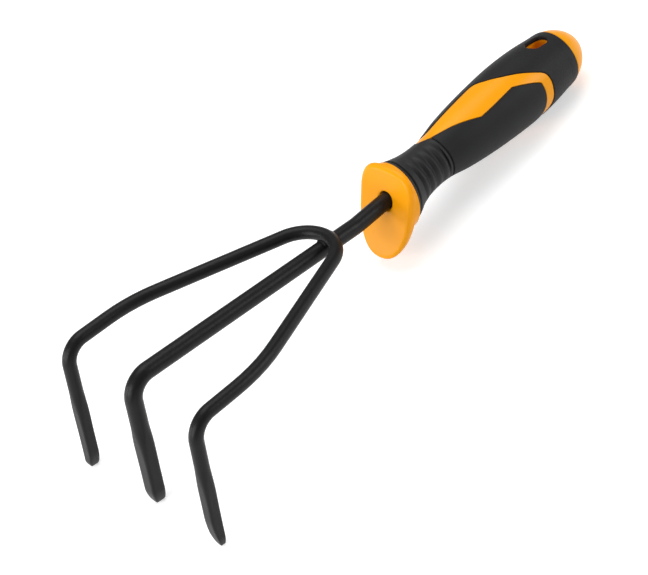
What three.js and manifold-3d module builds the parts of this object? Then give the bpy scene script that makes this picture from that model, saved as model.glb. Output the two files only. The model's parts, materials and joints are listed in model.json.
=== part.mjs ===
// Three-tine hand cultivator with a two-colour moulded handle.
// Millimetres, +Z up. The tool is modelled with its bar along +X and its tines pointing down,
// then pitched until the three tine tips and the underside of the handle stand on z = 0.
import * as THREE from 'three';
import { mergeVertices } from 'three/addons/utils/BufferGeometryUtils.js';
import Module from 'manifold-3d';

const wasm = await Module();
wasm.setup();
const degrees = THREE.MathUtils.degToRad;
const mix = THREE.MathUtils.lerp;

// ---- driving dimensions ----------------------------------------------------------------------

const gap = 0.3; // between pieces that touch

// steel head: a thick bar that is also the centre tine, and a thinner rod bent into the outer tines
const barRadius = 4;
const outerRodRadius = 3.25;
const cornerRadius = 11; // centreline radius where each tine turns down
const centreTineLength = 69.8;
const centreTineLean = 2.2; // degrees, tip away from the handle
const outerTineLean = 2.7;
const outerTineSpacing = 90.4; // centre to centre at the corners
const outerTineSplay = 0.5; // how far each outer tip stands outside its corner
const outerCornerAt = -1.6; // the outer corners against the centre one, along the bar
const outerCornerHeight = -0.2;
const kinkFromTine = 39.8; // straight run of each outer tine before the rods turn inwards
const kinkRadius = 22;
const kinkTuck = 0.8; // each kink stands this far inside its corner
const kinkHeight = 1.9;
const crossingFromTine = 123.1; // where the outer rod lies across the bar
const crossingRadius = 17.5;
const crossingSetDown = 1.5; // the rods are squeezed into each other as they are welded
const crankFromTine = 142.4; // where the bar bends up to the handle
const crankAngle = 6.2;
const crankRadius = 20;
const crankToGuard = 22.2;
const tangLength = 84; // bar inside the handle
const tangFlatLength = 16; // its end is pressed flat so that it can't turn
const tangFlatThickness = 5.6;
const pressedLength = 34; // lower stretch of each tine, pressed square
const pressedShare = 0.84; // across flats, as a share of the rod's diameter
const spearLength = 11; // rounded end of each tine
const tipHeelShare = 0.3; // end flat behind the tine's centre, as a share of half its thickness
const weldRadius = 2.5;
const weldLength = 9;

// handle, along its own axis from the front of the guard
const seamAt = 5.4; // guard's rear edge, on the axis
const seamTilt = 9.5; // degrees
const grooveAt = 36.4; // between the ribbed neck and the grips
const grooveWidth = 0.8;
const capSeamAt = 129.6;
const domeCentre = 124;
const domeRadius = 16.3;
const domeLength = 20.7;
const capInset = 0.15; // the butt's cap against the grips
const buttFlatRadius = 5;
const gripProfile = [[5, 17.3], [9, 15.9], [13.5, 14.1], [20, 12.5], [29, 11.8], [37, 12.3], [48, 14.5],
  [62, 16.35], [78, 17.7], [94, 18.4], [110, 17.85], [domeCentre, domeRadius]]; // place, radius
const gripThickness = 2.2; // soft grip over the core
const ribbonInset = 0.35; // core shows this far below the grips
const ribCount = 4;
const ribPitch = 5.2;
const firstRibAt = 16.4;
const ribHeight = 0.45;

// hand guard
const guardHalfWidth = 17.8;
const guardTopHeight = 17.3;
const guardLobeHeight = 28;
const guardSquareness = 2.4; // exponent of its rounded outline
const guardTopAt = 2.9; // rim at the top, along the axis
const guardLean = 16.3; // how much further forward the lobe's tip stands
const guardLeanCurve = 1.74;
const guardDish = 0.8;
const guardOverNeck = 0.3; // its rear edge stands this far over the neck

// hang slot, near the butt
const slotAt = 118.4;
const slotLength = 13;
const slotWidth = 8.2;

// Colour ribbon round the handle: [angle from the top towards +Y, place along the axis]. There is no
// ribbon where its rear edge is given in front of its front edge.
const ribbonRear = [[66, 31], [50, 35.5], [34, 38], [26, 46], [23, 55], [21, 70], [14, 77.5], [-12, 86],
  [-35, 97.5], [-54, 105.5], [-66, 107.6], [-100, 107.4], [-130, 104.5], [-150, 99], [-164, 90],
  [-174, 78], [-181, 60], [-187, 37], [-190, 31]];
const ribbonFront = [[66, 33], [50, 29.5], [27, 31], [2, 37], [-11, 43], [-24, 50.5], [-42, 61],
  [-45, 85], [-60, 98], [-68, 101.3], [-105, 100.7], [-130, 97.5], [-146, 92], [-158, 84],
  [-168, 72], [-175, 57], [-180, 37], [-188, 33]];

const roundSegments = 48; // round the handle
const rodSegments = 20; // round the bar and the rod

// ---- colours -----------------------------------------------------------------------------------

const blackSteel = new THREE.MeshStandardMaterial({ color: 0x2b2b2c, roughness: 0.5, metalness: 0.3 });
const weldSteel = new THREE.MeshStandardMaterial({ color: 0x2a2a2b, roughness: 0.55, metalness: 0.3 });
const orangePlastic = new THREE.MeshStandardMaterial({ color: 0xfba11b, roughness: 0.35, metalness: 0 });
const blackGrip = new THREE.MeshStandardMaterial({ color: 0x2e2e30, roughness: 0.75, metalness: 0 });

// ---- solids ------------------------------------------------------------------------------------

function toSolid(geometry) {
  const bare = new THREE.BufferGeometry();
  bare.setAttribute('position', geometry.getAttribute('position').clone());
  if (geometry.index) bare.setIndex(geometry.index.clone());
  const merged = mergeVertices(bare, 1e-4);
  return new wasm.Manifold(new wasm.Mesh({
    numProp: 3,
    vertProperties: new Float32Array(merged.getAttribute('position').array),
    triVerts: new Uint32Array(merged.index.array),
  }));
}

function toMesh(name, solid, material) {
  const { vertProperties, triVerts } = solid.getMesh();
  const geometry = new THREE.BufferGeometry();
  geometry.setAttribute('position', new THREE.BufferAttribute(new Float32Array(vertProperties), 3));
  geometry.setIndex(new THREE.BufferAttribute(new Uint32Array(triVerts), 1));
  geometry.computeVertexNormals();
  const mesh = new THREE.Mesh(geometry, material);
  mesh.name = name;
  return mesh;
}

function boxSolid(size, centre) {
  return toSolid(new THREE.BoxGeometry(...size).translate(...centre));
}

// ---- bent rods ---------------------------------------------------------------------------------

// A path through given stations: straight runs stay one step long and bends get as many as they hold.
class StationPath extends THREE.Curve {
  constructor(stations) {
    super();
    this.stations = stations;
  }

  getPoint(t, target = new THREE.Vector3()) {
    const last = this.stations.length - 1;
    const place = THREE.MathUtils.clamp(t, 0, 1) * last;
    const index = Math.min(Math.floor(place), last - 1);
    return target.lerpVectors(this.stations[index], this.stations[index + 1], place - index);
  }

  getUtoTmapping(u) {
    return u;
  }
}

// Stations along a polyline whose inner corners are rounded to the given centreline radii.
function bentStations(corners, radii, bendStep = degrees(9)) {
  const stations = [corners[0].clone()];
  for (let i = 1; i < corners.length - 1; i += 1) {
    const before = corners[i - 1].clone().sub(corners[i]).normalize();
    const after = corners[i + 1].clone().sub(corners[i]).normalize();
    const turn = Math.PI - before.angleTo(after);
    const radius = radii[i - 1];
    const run = radius * Math.tan(turn / 2);
    const centre = before.clone().add(after).normalize()
      .multiplyScalar(radius / Math.cos(turn / 2)).add(corners[i]);
    const start = before.clone().multiplyScalar(run).add(corners[i]).sub(centre);
    const axis = new THREE.Vector3().crossVectors(after, before).normalize();
    const steps = Math.max(3, Math.ceil(turn / bendStep));
    for (let k = 0; k <= steps; k += 1) {
      stations.push(start.clone().applyAxisAngle(axis, (turn * k) / steps).add(centre));
    }
  }
  stations.push(corners[corners.length - 1].clone());
  return stations;
}

function rodSolid(corners, radii, radius) {
  const stations = bentStations(corners, radii);
  const section = new THREE.Shape().absarc(0, 0, radius, 0, Math.PI * 2, false);
  return toSolid(new THREE.ExtrudeGeometry(section, {
    steps: stations.length - 1,
    curveSegments: rodSegments / 2,
    extrudePath: new StationPath(stations),
  }));
}

// What is left round a tine after pressing: round above, square below, with an arched spear end.
// Built with its tip at the origin and the tine standing up along +Z, flats facing -X.
function tinePress(radius, length) {
  const half = radius * pressedShare;
  const reach = radius * 2;
  const outline = new THREE.Shape();
  outline.moveTo(-reach, length);
  outline.lineTo(-reach, pressedLength);
  outline.lineTo(-half, pressedLength - radius);
  outline.lineTo(-half, spearLength);
  outline.quadraticCurveTo(-half, spearLength * 0.32, 0, 0);
  outline.quadraticCurveTo(half, spearLength * 0.32, half, spearLength);
  outline.lineTo(half, pressedLength - radius);
  outline.lineTo(reach, pressedLength);
  outline.lineTo(reach, length);
  outline.closePath();
  const front = new THREE.Shape();
  front.moveTo(-reach, length);
  front.lineTo(-reach, pressedLength);
  front.lineTo(-half, pressedLength - radius);
  front.lineTo(-half, 0);
  front.lineTo(half * tipHeelShare, 0);
  front.lineTo(half, spearLength * 0.55);
  front.lineTo(half, pressedLength - radius);
  front.lineTo(reach, pressedLength);
  front.lineTo(reach, length);
  front.closePath();
  const settings = { depth: reach * 2, bevelEnabled: false, curveSegments: 6 };
  const sides = new THREE.ExtrudeGeometry(outline, settings)
    .translate(0, 0, -reach).rotateX(Math.PI / 2).rotateZ(Math.PI / 2);
  const depth = new THREE.ExtrudeGeometry(front, settings)
    .translate(0, 0, -reach).rotateX(Math.PI / 2);
  return toSolid(sides).intersect(toSolid(depth));
}

// Presses the lower end of the tine that runs from a corner down to its tip.
function pressTine(rod, radius, corner, tip) {
  const up = corner.clone().sub(tip);
  const length = up.length();
  const keep = pressedLength + radius;
  const turn = new THREE.Quaternion().setFromUnitVectors(new THREE.Vector3(0, 0, 1), up.normalize());
  const place = new THREE.Matrix4().compose(tip, turn, new THREE.Vector3(1, 1, 1));
  const stretch = new THREE.BoxGeometry(radius * 3, radius * 3, keep).translate(0, 0, keep / 2 - 2)
    .applyMatrix4(place);
  const press = tinePress(radius, length).transform(place.elements);
  return rod.subtract(toSolid(stretch).subtract(press));
}

// ---- steel head --------------------------------------------------------------------------------

const lean = (angle, length) => new THREE.Vector3(
  -Math.sin(degrees(angle)) * length, 0, -Math.cos(degrees(angle)) * length);

const centreCorner = new THREE.Vector3(0, 0, 0);
const centreTip = lean(centreTineLean, centreTineLength).add(centreCorner);
const crankCorner = new THREE.Vector3(crankFromTine, 0, 0);
const handleAxis = new THREE.Vector3(Math.cos(degrees(crankAngle)), 0, Math.sin(degrees(crankAngle)));
const guardPoint = handleAxis.clone().multiplyScalar(crankToGuard).add(crankCorner);
const tangEnd = handleAxis.clone().multiplyScalar(tangLength).add(guardPoint);

// The tang's pressed end lies in the handle's own frame: along x from the guard.
function tangTrim(clearance) {
  const reach = barRadius * 2;
  const tall = barRadius * 2;
  const start = tangLength - tangFlatLength + clearance;
  const centre = start + tangFlatLength;
  const offset = tangFlatThickness / 2 + clearance + tall / 2;
  return boxSolid([tangFlatLength * 2, reach * 2, tall], [centre, 0, offset])
    .add(boxSolid([tangFlatLength * 2, reach * 2, tall], [centre, 0, -offset]));
}

const handlePlace = new THREE.Matrix4().makeRotationY(-degrees(crankAngle)).setPosition(guardPoint);

function barSolid() {
  const rod = rodSolid([centreTip, centreCorner, crankCorner, tangEnd], [cornerRadius, crankRadius],
    barRadius);
  return pressTine(rod, barRadius, centreCorner, centreTip)
    .subtract(tangTrim(0).transform(handlePlace.elements));
}

// The lowest point of a tip as the tool stands: the heel of its end flat.
function tipHeel(tip, angle, radius) {
  const heel = radius * pressedShare * tipHeelShare;
  return new THREE.Vector3(Math.cos(degrees(angle)), 0, -Math.sin(degrees(angle)))
    .multiplyScalar(heel).add(tip);
}

// The tool stands on its tips and on the underside of the grip: the flattest line between them.
const centreHeel = tipHeel(centreTip, centreTineLean, barRadius);
const restSlope = Math.min(...ringPlaces(false).map((x) => {
  const underside = new THREE.Vector3(x, 0, -gripRadius(x)).applyMatrix4(handlePlace);
  return Math.atan2(underside.z - centreHeel.z, underside.x - centreHeel.x);
}));

const crossingHeight = barRadius + outerRodRadius - crossingSetDown;
const outerRodRadii = [cornerRadius, kinkRadius, crossingRadius, kinkRadius, cornerRadius];
const outerHalf = outerTineSpacing / 2;

// The outer tips end level with the centre one as the tool stands.
function outerTineLength() {
  const slope = Math.tan(restSlope);
  const heel = tipHeel(new THREE.Vector3(outerCornerAt, 0, outerCornerHeight), outerTineLean,
    outerRodRadius);
  const drop = heel.z - centreHeel.z - slope * (heel.x - centreHeel.x);
  return drop / (Math.cos(degrees(outerTineLean)) - slope * Math.sin(degrees(outerTineLean)));
}

function outerRodCorners() {
  const half = [
    lean(outerTineLean, outerTineLength()).add(
      new THREE.Vector3(outerCornerAt, outerHalf + outerTineSplay, outerCornerHeight)),
    new THREE.Vector3(outerCornerAt, outerHalf, outerCornerHeight),
    new THREE.Vector3(outerCornerAt + kinkFromTine, outerHalf - kinkTuck, kinkHeight),
  ];
  // the spread runs would meet at an apex beyond the crossing; its bend brings them across the bar
  const kink = half[2];
  let apexAt = crossingFromTine + crossingRadius;
  for (let i = 0; i < 12; i += 1) {
    const halfAngle = Math.atan2(kink.y, apexAt - kink.x);
    apexAt = crossingFromTine + crossingRadius * (1 / Math.sin(halfAngle) - 1);
  }
  const climb = (crossingHeight - kink.z) / (crossingFromTine - kink.x);
  const apex = new THREE.Vector3(apexAt, 0, kink.z + climb * (apexAt - kink.x));
  const mirrored = half.map((p) => new THREE.Vector3(p.x, -p.y, p.z)).reverse();
  return [...half, apex, ...mirrored];
}

// The bar's own space where the rod is pressed on to it.
function barClearance() {
  const radius = barRadius + gap;
  return toSolid(new THREE.CylinderGeometry(radius, radius, outerRodRadius * 6, rodSegments)
    .rotateZ(Math.PI / 2).translate(crossingFromTine, 0, 0));
}

function outerRodSolid() {
  const corners = outerRodCorners();
  const rod = rodSolid(corners, outerRodRadii, outerRodRadius);
  const [tipLeft, cornerLeft] = corners;
  const [cornerRight, tipRight] = corners.slice(-2);
  const leftPressed = pressTine(rod, outerRodRadius, cornerLeft, tipLeft);
  return pressTine(leftPressed, outerRodRadius, cornerRight, tipRight).subtract(barClearance());
}

// A bead of weld in the notch between the crossing rod and the bar, on one side of the rod.
function weldSolid(side) {
  const bead = new THREE.CylinderGeometry(weldRadius, weldRadius, weldLength, 14)
    .translate(crossingFromTine + side * outerRodRadius, 0, barRadius);
  const corners = outerRodCorners();
  const rodClearance = rodSolid(corners, outerRodRadii, outerRodRadius + gap);
  return toSolid(bead).subtract(barClearance()).subtract(rodClearance);
}

// ---- handle ------------------------------------------------------------------------------------

const alongX = (geometry) => geometry.rotateZ(-Math.PI / 2);

// Solid of revolution about x from points [place along x, radius].
function turned(points) {
  return toSolid(alongX(new THREE.LatheGeometry(
    points.map(([x, r]) => new THREE.Vector2(Math.max(r, 0), x)), roundSegments)));
}

const closedOnAxis = (points) => [[points[0][0], 0], ...points, [points[points.length - 1][0], 0]];

function ribAt(x) {
  const place = (x - firstRibAt) / ribPitch;
  if (place < -0.5 || place > ribCount - 0.5) return 0;
  return ribHeight * Math.cos(2 * Math.PI * place);
}

// Radius of the grip: a smooth curve through the profile's stations, then the butt's dome.
function gripRadius(x) {
  if (x > domeCentre) {
    return domeRadius * Math.sqrt(Math.max(0, 1 - ((x - domeCentre) / domeLength) ** 2));
  }
  const last = gripProfile.length - 1;
  const next = Math.max(1, gripProfile.findIndex(([place]) => place >= x));
  const slopeAt = (i) => {
    const [a, ra] = gripProfile[Math.max(i - 1, 0)];
    const [b, rb] = gripProfile[Math.min(i + 1, last)];
    return (rb - ra) / (b - a);
  };
  const [start, startRadius] = gripProfile[next - 1];
  const [end, endRadius] = gripProfile[next];
  const span = end - start;
  const t = Math.max(0, (x - start) / span);
  return startRadius * (1 + 2 * t) * (1 - t) ** 2 + endRadius * t * t * (3 - 2 * t)
    + span * slopeAt(next - 1) * t * (1 - t) ** 2 - span * slopeAt(next) * t * t * (1 - t);
}

// Places of the rings along the handle, close together where the neck is ribbed.
function ringPlaces(ribbed) {
  const places = [seamAt - 10, seamAt - 3, seamAt];
  const neckStep = ribbed ? ribPitch / 4 : ribPitch;
  const firstPlace = firstRibAt - ribPitch * 1.5;
  for (let i = 0; firstPlace + i * neckStep < grooveAt; i += 1) places.push(firstPlace + i * neckStep);
  const bodyRings = 10;
  for (let i = 0; i <= bodyRings; i += 1) places.push(mix(grooveAt + 1, domeCentre, i / bodyRings));
  const flatAngle = Math.acos(buttFlatRadius / domeRadius);
  const domeRings = 6;
  for (let i = 1; i <= domeRings; i += 1) {
    places.push(domeCentre + domeLength * Math.sin((flatAngle * i) / domeRings));
  }
  return places;
}

// The handle's outer outline, pulled in everywhere by an inset.
function handleOutline(inset, ribbed) {
  return closedOnAxis(
    ringPlaces(ribbed).map((x) => [x, gripRadius(x) + (ribbed ? ribAt(x) : 0) - inset]));
}

// Place of an edge at an angle: its points run from high angles to low ones.
function placeAt(edge, angle) {
  for (let i = 1; i < edge.length; i += 1) {
    const [a, placeA] = edge[i - 1];
    const [b, placeB] = edge[i];
    if (angle >= b) return mix(placeA, placeB, Math.min(Math.max((angle - a) / (b - a), 0), 1));
  }
  return edge[edge.length - 1][1];
}

// An edge moved sideways over the grip's surface, to the rear if the distance is positive.
function movedEdge(edge, distance) {
  const normals = edge.slice(1).map(([angle, x], i) => {
    const [angleBefore, xBefore] = edge[i];
    const across = degrees(angle - angleBefore) * gripRadius((x + xBefore) / 2);
    return new THREE.Vector2(x - xBefore, -across).normalize();
  });
  return edge.map(([angle, x], i) => {
    const normal = normals[Math.max(i - 1, 0)].clone()
      .add(normals[Math.min(i, normals.length - 1)]).normalize();
    const turn = THREE.MathUtils.radToDeg((normal.x * distance) / gripRadius(x));
    return [angle + turn, x + normal.y * distance];
  });
}

// Everything in front of an edge that winds round the handle, as a thick-walled ring of space. Its
// rear face has several rings between bore and rim, so that it stays radial where the edge is steep.
// The edge is moved to the rear by a shift.
function inFrontOf(edge, shift) {
  const moved = movedEdge(edge, shift);
  const front = -60;
  const radii = [2, 8, 10.5, 13, 15.5, 18, 20.5, 45];
  const bore = radii[0];
  const rim = radii[radii.length - 1];
  const ring = new THREE.LatheGeometry([
    new THREE.Vector2(bore, front), new THREE.Vector2(rim, front),
    ...radii.toReversed().map((r) => new THREE.Vector2(r, 0)), new THREE.Vector2(bore, front),
  ], roundSegments);
  alongX(ring);
  const position = ring.getAttribute('position');
  for (let i = 0; i < position.count; i += 1) {
    const [x, y, z] = [position.getX(i), position.getY(i), position.getZ(i)];
    if (x > front / 2) {
      let angle = THREE.MathUtils.radToDeg(Math.atan2(y, z));
      if (angle > moved[0][0] + 1e-3) angle -= 360;
      position.setX(i, placeAt(moved, angle));
    }
  }
  return toSolid(ring);
}

// Space between two places along the handle; the first face can be tilted like the guard's seam.
function between(from, to, tilt = 0) {
  const wide = 120;
  const slab = boxSolid([to - from, wide, wide], [(from + to) / 2, 0, 0]);
  if (!tilt) return slab;
  const cut = new THREE.BoxGeometry(wide, wide * 2, wide * 2).translate(-wide / 2, 0, 0)
    .rotateY(degrees(tilt)).translate(from, 0, 0);
  return boxSolid([to - from + wide / 2, wide, wide], [(from + to) / 2 - wide / 4, 0, 0])
    .subtract(toSolid(cut));
}

const guardOutline = (angle) => {
  const height = Math.cos(angle) > 0 ? guardTopHeight : guardLobeHeight;
  const across = Math.abs(Math.sin(angle) / guardHalfWidth) ** guardSquareness;
  const along = Math.abs(Math.cos(angle) / height) ** guardSquareness;
  return (across + along) ** (-1 / guardSquareness);
};

const guardFront = (z) => guardTopAt
  - guardLean * (Math.max(guardTopHeight - z, 0) / (guardTopHeight + guardLobeHeight)) ** guardLeanCurve;

// A dished plate with a forward-leaning lobe, flaring back into the neck.
function guardSolid() {
  const seamSlope = Math.tan(degrees(seamTilt));
  // [share of the outline, share of the way in to the neck, share of the way back to the seam]
  const rows = [[0, 0, 0], [0.3, 0, 0], [0.55, 0, 0], [0.78, 0, 0], [0.94, 0, 0], [1, 0, 0.1],
    [1, 0.06, 0.25], [1, 0.3, 0.38], [1, 0.62, 0.58], [1, 0.88, 0.8], [1, 1, 1], [0, 1, 1]];
  const lathe = new THREE.LatheGeometry(rows.map(([share], i) => new THREE.Vector2(share, i)),
    roundSegments);
  const position = lathe.getAttribute('position');
  for (let i = 0; i < position.count; i += 1) {
    const [share, inward, back] = rows[Math.round(position.getY(i))];
    const angle = Math.atan2(position.getX(i), position.getZ(i));
    const rim = guardOutline(angle);
    const neckPlace = seamAt + seamSlope * guardHalfWidth * Math.cos(angle);
    const radius = share * mix(rim, gripRadius(neckPlace) + guardOverNeck, inward);
    const z = radius * Math.cos(angle);
    const dish = guardDish * (1 - share ** 2) * (back === 0 ? 1 : 0);
    const front = guardFront(back === 0 ? z : rim * Math.cos(angle)) + dish;
    const seam = seamAt + seamSlope * z;
    position.setXYZ(i, mix(front, seam, back), -radius * Math.sin(angle), z);
  }
  return toSolid(lathe);
}

function slotSolid() {
  const half = slotLength / 2 - slotWidth / 2;
  const outline = new THREE.Shape();
  outline.absarc(slotAt + half, 0, slotWidth / 2, -Math.PI / 2, Math.PI / 2, false);
  outline.absarc(slotAt - half, 0, slotWidth / 2, Math.PI / 2, Math.PI * 1.5, false);
  return toSolid(new THREE.ExtrudeGeometry(outline, { depth: 80, bevelEnabled: false, curveSegments: 8 })
    .translate(0, 0, -40));
}

function tangBore() {
  const radius = barRadius + gap;
  const start = -40;
  const end = tangLength + gap;
  const bore = new THREE.CylinderGeometry(radius, radius, end - start, 32)
    .rotateZ(Math.PI / 2).translate((start + end) / 2, 0, 0);
  return toSolid(bore).subtract(tangTrim(gap));
}

const outerShape = turned(handleOutline(0, true));
const flushShape = turned(handleOutline(ribbonInset, false));
const coreShape = turned(handleOutline(gripThickness + gap, false));
const slot = slotSolid();

function coreSolid() {
  const rear = 200;
  const ribbon = inFrontOf(ribbonRear, -gap / 2).subtract(inFrontOf(ribbonFront, gap / 2))
    .intersect(between(seamAt, capSeamAt)).intersect(flushShape);
  const cap = turned(handleOutline(capInset, false)).intersect(between(capSeamAt, rear));
  const core = coreShape.intersect(between(seamAt - 2, rear));
  return guardSolid().add(core).add(ribbon).add(cap).subtract(tangBore()).subtract(slot);
}

const gripShell = outerShape.subtract(turned(handleOutline(gripThickness, false)));
const ribbonSpace = inFrontOf(ribbonRear, gap / 2).subtract(inFrontOf(ribbonFront, -gap / 2));

function neckSleeveSolid() {
  return gripShell.intersect(between(seamAt + gap, grooveAt - grooveWidth / 2, seamTilt))
    .subtract(ribbonSpace);
}

const gripBody = gripShell.intersect(between(grooveAt + grooveWidth / 2, capSeamAt - gap));

function sidePadSolid() {
  return gripBody.intersect(inFrontOf(ribbonFront, -gap / 2));
}

function crownGripSolid() {
  return gripBody.subtract(inFrontOf(ribbonRear, gap / 2)).subtract(slot);
}

// ---- assembly ----------------------------------------------------------------------------------

const head = new THREE.Group();
head.add(
  toMesh('centre_tine_bar', barSolid(), blackSteel),
  toMesh('outer_tine_rod', outerRodSolid(), blackSteel),
  toMesh('weld_bead_front', weldSolid(-1), weldSteel),
  toMesh('weld_bead_rear', weldSolid(1), weldSteel),
);

const handle = new THREE.Group();
handle.position.copy(guardPoint);
handle.rotation.y = -degrees(crankAngle);
handle.add(
  toMesh('handle_core', coreSolid(), orangePlastic),
  toMesh('neck_sleeve', neckSleeveSolid(), blackGrip),
  toMesh('side_pad', sidePadSolid(), blackGrip),
  toMesh('crown_grip', crownGripSolid(), blackGrip),
);

const tool = new THREE.Group();
tool.add(head, handle);
tool.rotation.y = restSlope;

const cultivator = new THREE.Group();
cultivator.add(tool);
cultivator.updateMatrixWorld(true);
const box = new THREE.Box3().setFromObject(cultivator, true);
tool.position.set(-(box.min.x + box.max.x) / 2, -(box.min.y + box.max.y) / 2, -box.min.z);

export default cultivator;
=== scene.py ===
import json
import math

import bmesh
import bpy
from mathutils import Matrix, Quaternion, Vector


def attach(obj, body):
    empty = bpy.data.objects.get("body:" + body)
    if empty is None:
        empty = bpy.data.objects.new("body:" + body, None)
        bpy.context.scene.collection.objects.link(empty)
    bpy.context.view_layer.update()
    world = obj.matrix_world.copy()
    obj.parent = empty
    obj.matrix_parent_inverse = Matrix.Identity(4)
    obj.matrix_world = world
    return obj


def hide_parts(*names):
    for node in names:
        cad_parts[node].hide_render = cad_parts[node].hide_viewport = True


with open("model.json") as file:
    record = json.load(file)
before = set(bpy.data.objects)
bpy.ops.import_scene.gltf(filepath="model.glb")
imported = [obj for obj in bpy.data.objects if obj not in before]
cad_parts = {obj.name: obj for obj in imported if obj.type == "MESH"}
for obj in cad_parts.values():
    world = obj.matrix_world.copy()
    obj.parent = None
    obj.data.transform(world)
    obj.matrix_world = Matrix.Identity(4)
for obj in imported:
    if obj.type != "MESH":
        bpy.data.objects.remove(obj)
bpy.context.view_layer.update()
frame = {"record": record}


# ---- where the tool lies ----------------------------------------------------------------------
# The handle's own axis runs from the hand guard to the flat on its butt. The straight bar of the
# head meets it at the crank, a shallow upward bend just in front of the guard.

mm = 0.001
butt_at = 143.702  # from the guard to the butt's flat, along the handle
crank_to_guard = 22.2
crank_angle = math.radians(6.2)
crank_from_tine = 142.4

butt = next(mount for mount in frame["record"]["mounts"] if mount["name"] == "butt_face")
handle_axis = Vector(butt["axis"]).normalized()
handle_up = handle_axis.cross(Vector((0, 1, 0)))
handle_turn = Matrix((handle_axis, (0, 1, 0), handle_up)).transposed().to_4x4()
guard_point = Vector(butt["pos_m"]) - handle_axis * butt_at * mm
handle_place = Matrix.Translation(guard_point) @ handle_turn @ Matrix.Scale(mm, 4)
bar_place = (
    handle_place
    @ Matrix.Translation((-crank_to_guard, 0, 0))
    @ Matrix.Rotation(crank_angle, 4, "Y")
    @ Matrix.Translation((-crank_from_tine, 0, 0))
)


# ---- camera -----------------------------------------------------------------------------------
# A long lens in front of the tines and to their right, looking down on the tool with the camera
# rolled so that the handle climbs to the upper right. Its place is from the centre tine's corner.

camera_place = Vector((-315.45, -558.76, 482.03))
camera_turn = math.radians(-28.556)
camera_tilt = math.radians(47.209)
camera_roll = math.radians(-25.557)

lens = bpy.data.cameras.new("camera")
lens.lens = 100.44
lens.sensor_width = 36
camera = bpy.data.objects.new("camera", lens)
camera.matrix_world = (
    Matrix.Translation(bar_place @ camera_place)
    @ Matrix.Rotation(camera_turn, 4, "Z")
    @ Matrix.Rotation(camera_tilt, 4, "X")
    @ Matrix.Rotation(camera_roll, 4, "Z")
)
bpy.context.scene.collection.objects.link(camera)
bpy.context.scene.camera = camera
bpy.context.scene.view_settings.view_transform = "Standard"


# ---- floor and light --------------------------------------------------------------------------
# A plain white sheet under the tool, and soft boxes above it, in front of it and on both sides of
# it, in an evenly lit white room.


class Wire:
    """A socket in a material. Sums, differences and products of wires add Math nodes to it."""

    def __init__(self, tree, socket=None):
        self.tree = tree
        self.socket = socket

    def node(self, kind, settings=None, sockets=None, output=0):
        """Adds a node: its settings first, then its sockets, by name or by number."""
        made = self.tree.nodes.new(kind)
        for name, value in (settings or {}).items():
            setattr(made, name, value)
        for name, value in (sockets or {}).items():
            if isinstance(value, Wire):
                self.tree.links.new(value.socket, made.inputs[name])
            else:
                made.inputs[name].default_value = value
        return Wire(self.tree, made.outputs[output] if made.outputs else None)

    def math(self, operation, first, second):
        return self.node("ShaderNodeMath", {"operation": operation}, {0: first, 1: second})

    def __add__(self, other):
        return self.math("ADD", self, other)

    __radd__ = __add__

    def __mul__(self, other):
        return self.math("MULTIPLY", self, other)

    __rmul__ = __mul__

    def __sub__(self, other):
        return self.math("SUBTRACT", self, other)

    def __rsub__(self, other):
        return self.math("SUBTRACT", other, self)


def new_material(name):
    """A material with nothing in it, and a wire to start its nodes from."""
    material = bpy.data.materials.new(name)
    material.use_nodes = True
    material.node_tree.nodes.clear()
    return material, Wire(material.node_tree)


floor_glow = 0.45
floor_reach = 6

paper, start = new_material("white_sheet")
seen = start.node("ShaderNodeLightPath", output="Is Camera Ray")
for ray in ("Is Glossy Ray", "Is Transmission Ray"):
    seen += start.node("ShaderNodeLightPath", output=ray)
lit_sheet = start.node("ShaderNodeBsdfDiffuse", sockets={"Color": (0.82, 0.82, 0.82, 1)})
glow = start.node("ShaderNodeEmission", sockets={"Color": (1, 1, 1, 1), "Strength": seen * floor_glow})
sheet_light = start.node("ShaderNodeAddShader", sockets={0: lit_sheet, 1: glow})
start.node("ShaderNodeOutputMaterial", sockets={"Surface": sheet_light})

sheet_shape = bmesh.new()
bmesh.ops.create_grid(sheet_shape, x_segments=1, y_segments=1, size=floor_reach)
sheet_mesh = bpy.data.meshes.new("floor")
sheet_shape.to_mesh(sheet_mesh)
sheet_shape.free()
sheet_mesh.materials.append(paper)
floor = bpy.data.objects.new("floor", sheet_mesh)
bpy.context.scene.collection.objects.link(floor)

room_light = 0.3

room = bpy.data.worlds.new("room")
room.use_nodes = True
walls = room.node_tree.nodes["Background"]
walls.inputs["Color"].default_value = (1, 1, 1, 1)
walls.inputs["Strength"].default_value = room_light
bpy.context.scene.world = room

# name, place, size across, power in watts
soft_boxes = [
    ("box_above", (0.4, 0.35, 1.45), 1.25, 14),
    ("box_front", (-1.4, 0.1, 0.7), 0.9, 15),
    ("box_right", (1.1, -1.1, 0.6), 0.7, 8.5),
    ("box_left", (-1.0, 0.9, 0.35), 0.35, 4),
]
for name, place, size, power in soft_boxes:
    light = bpy.data.lights.new(name, "AREA")
    light.size = size
    light.energy = power
    lamp = bpy.data.objects.new(name, light)
    facing = Vector(place).to_track_quat("Z", "Y").to_matrix().to_4x4()
    lamp.matrix_world = Matrix.Translation(place) @ facing
    bpy.context.scene.collection.objects.link(lamp)


# ---- centre tine and bar ----------------------------------------------------------------------
# One 8 mm steel rod, cut to length, bent at the tine's corner and at the crank, with its lower
# end pressed square and sheared to a blunt spear. Its tang is moulded into the handle.

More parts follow.
